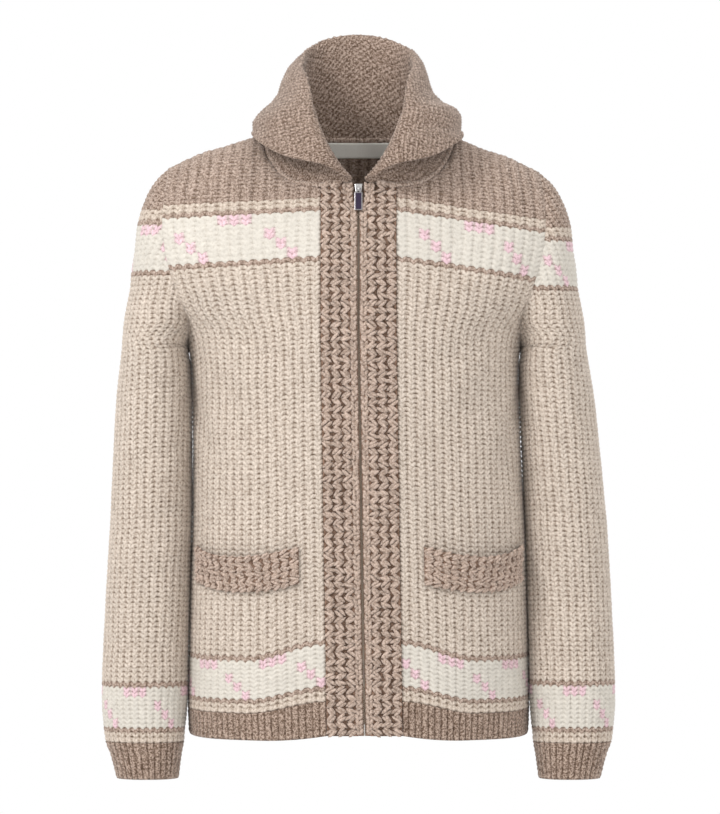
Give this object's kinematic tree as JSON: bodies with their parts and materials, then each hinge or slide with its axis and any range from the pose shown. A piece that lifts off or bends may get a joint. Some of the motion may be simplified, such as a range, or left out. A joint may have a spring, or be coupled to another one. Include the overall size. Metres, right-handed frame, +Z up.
{
  "type": "shawl-collar zip cardigan",
  "caption": "Chunky rib-knit zip cardigan with a shawl collar, herringbone front bands, pocket welts and ribbed hem and cuffs, filled out hollow as if worn.",
  "frame": {"origin": "middle of the neck's base, level with the highest points of the two shoulder seams, where a wearer's shoulders and neck hold the garment up", "axes": "+Z up, the front faces -Y, +X is the wearer's left"},
  "size_m": [0.588, 0.2575, 0.8615],
  "materials": {
    "rib_knit": "soft heathered beige cashmere in chunky rib, with cream bands and pink dashes",
    "dark_knit": "heathered taupe cashmere in moss, herringbone and fine rib stitches",
    "zip_tape": "taupe woven tape with fine teeth",
    "zip_metal": "polished silver-coloured metal",
    "pull_inlay": "dark violet-navy inlay, satin",
    "label": "bare cream woven satin"
  },
  "bodies": {
    "garment": {"front_right": "rib_knit", "front_left": "rib_knit", "back": "rib_knit", "sleeve_right": "rib_knit", "sleeve_left": "rib_knit", "cuff_right": "dark_knit", "cuff_left": "dark_knit", "hem_rib_right": "dark_knit", "hem_rib_left": "dark_knit", "hem_rib_back": "dark_knit", "collar": "dark_knit", "band_right": "dark_knit", "band_left": "dark_knit", "welt_right": "dark_knit", "welt_left": "dark_knit", "zip_tape_right": "zip_tape", "zip_tape_left": "zip_tape", "zip_slider": "zip_metal", "neck_label": "label"},
    "pull": {"zip_pull": "zip_metal", "pull_inlay": "pull_inlay"}
  },
  "joints": [
    {"name": "pull_hinge", "type": "hinge", "parent": "garment", "child": "pull", "pos_m": [0, -0.1057, -0.0719], "axis": [-1, 0, 0], "range_deg": [0, 120]}
  ]
}
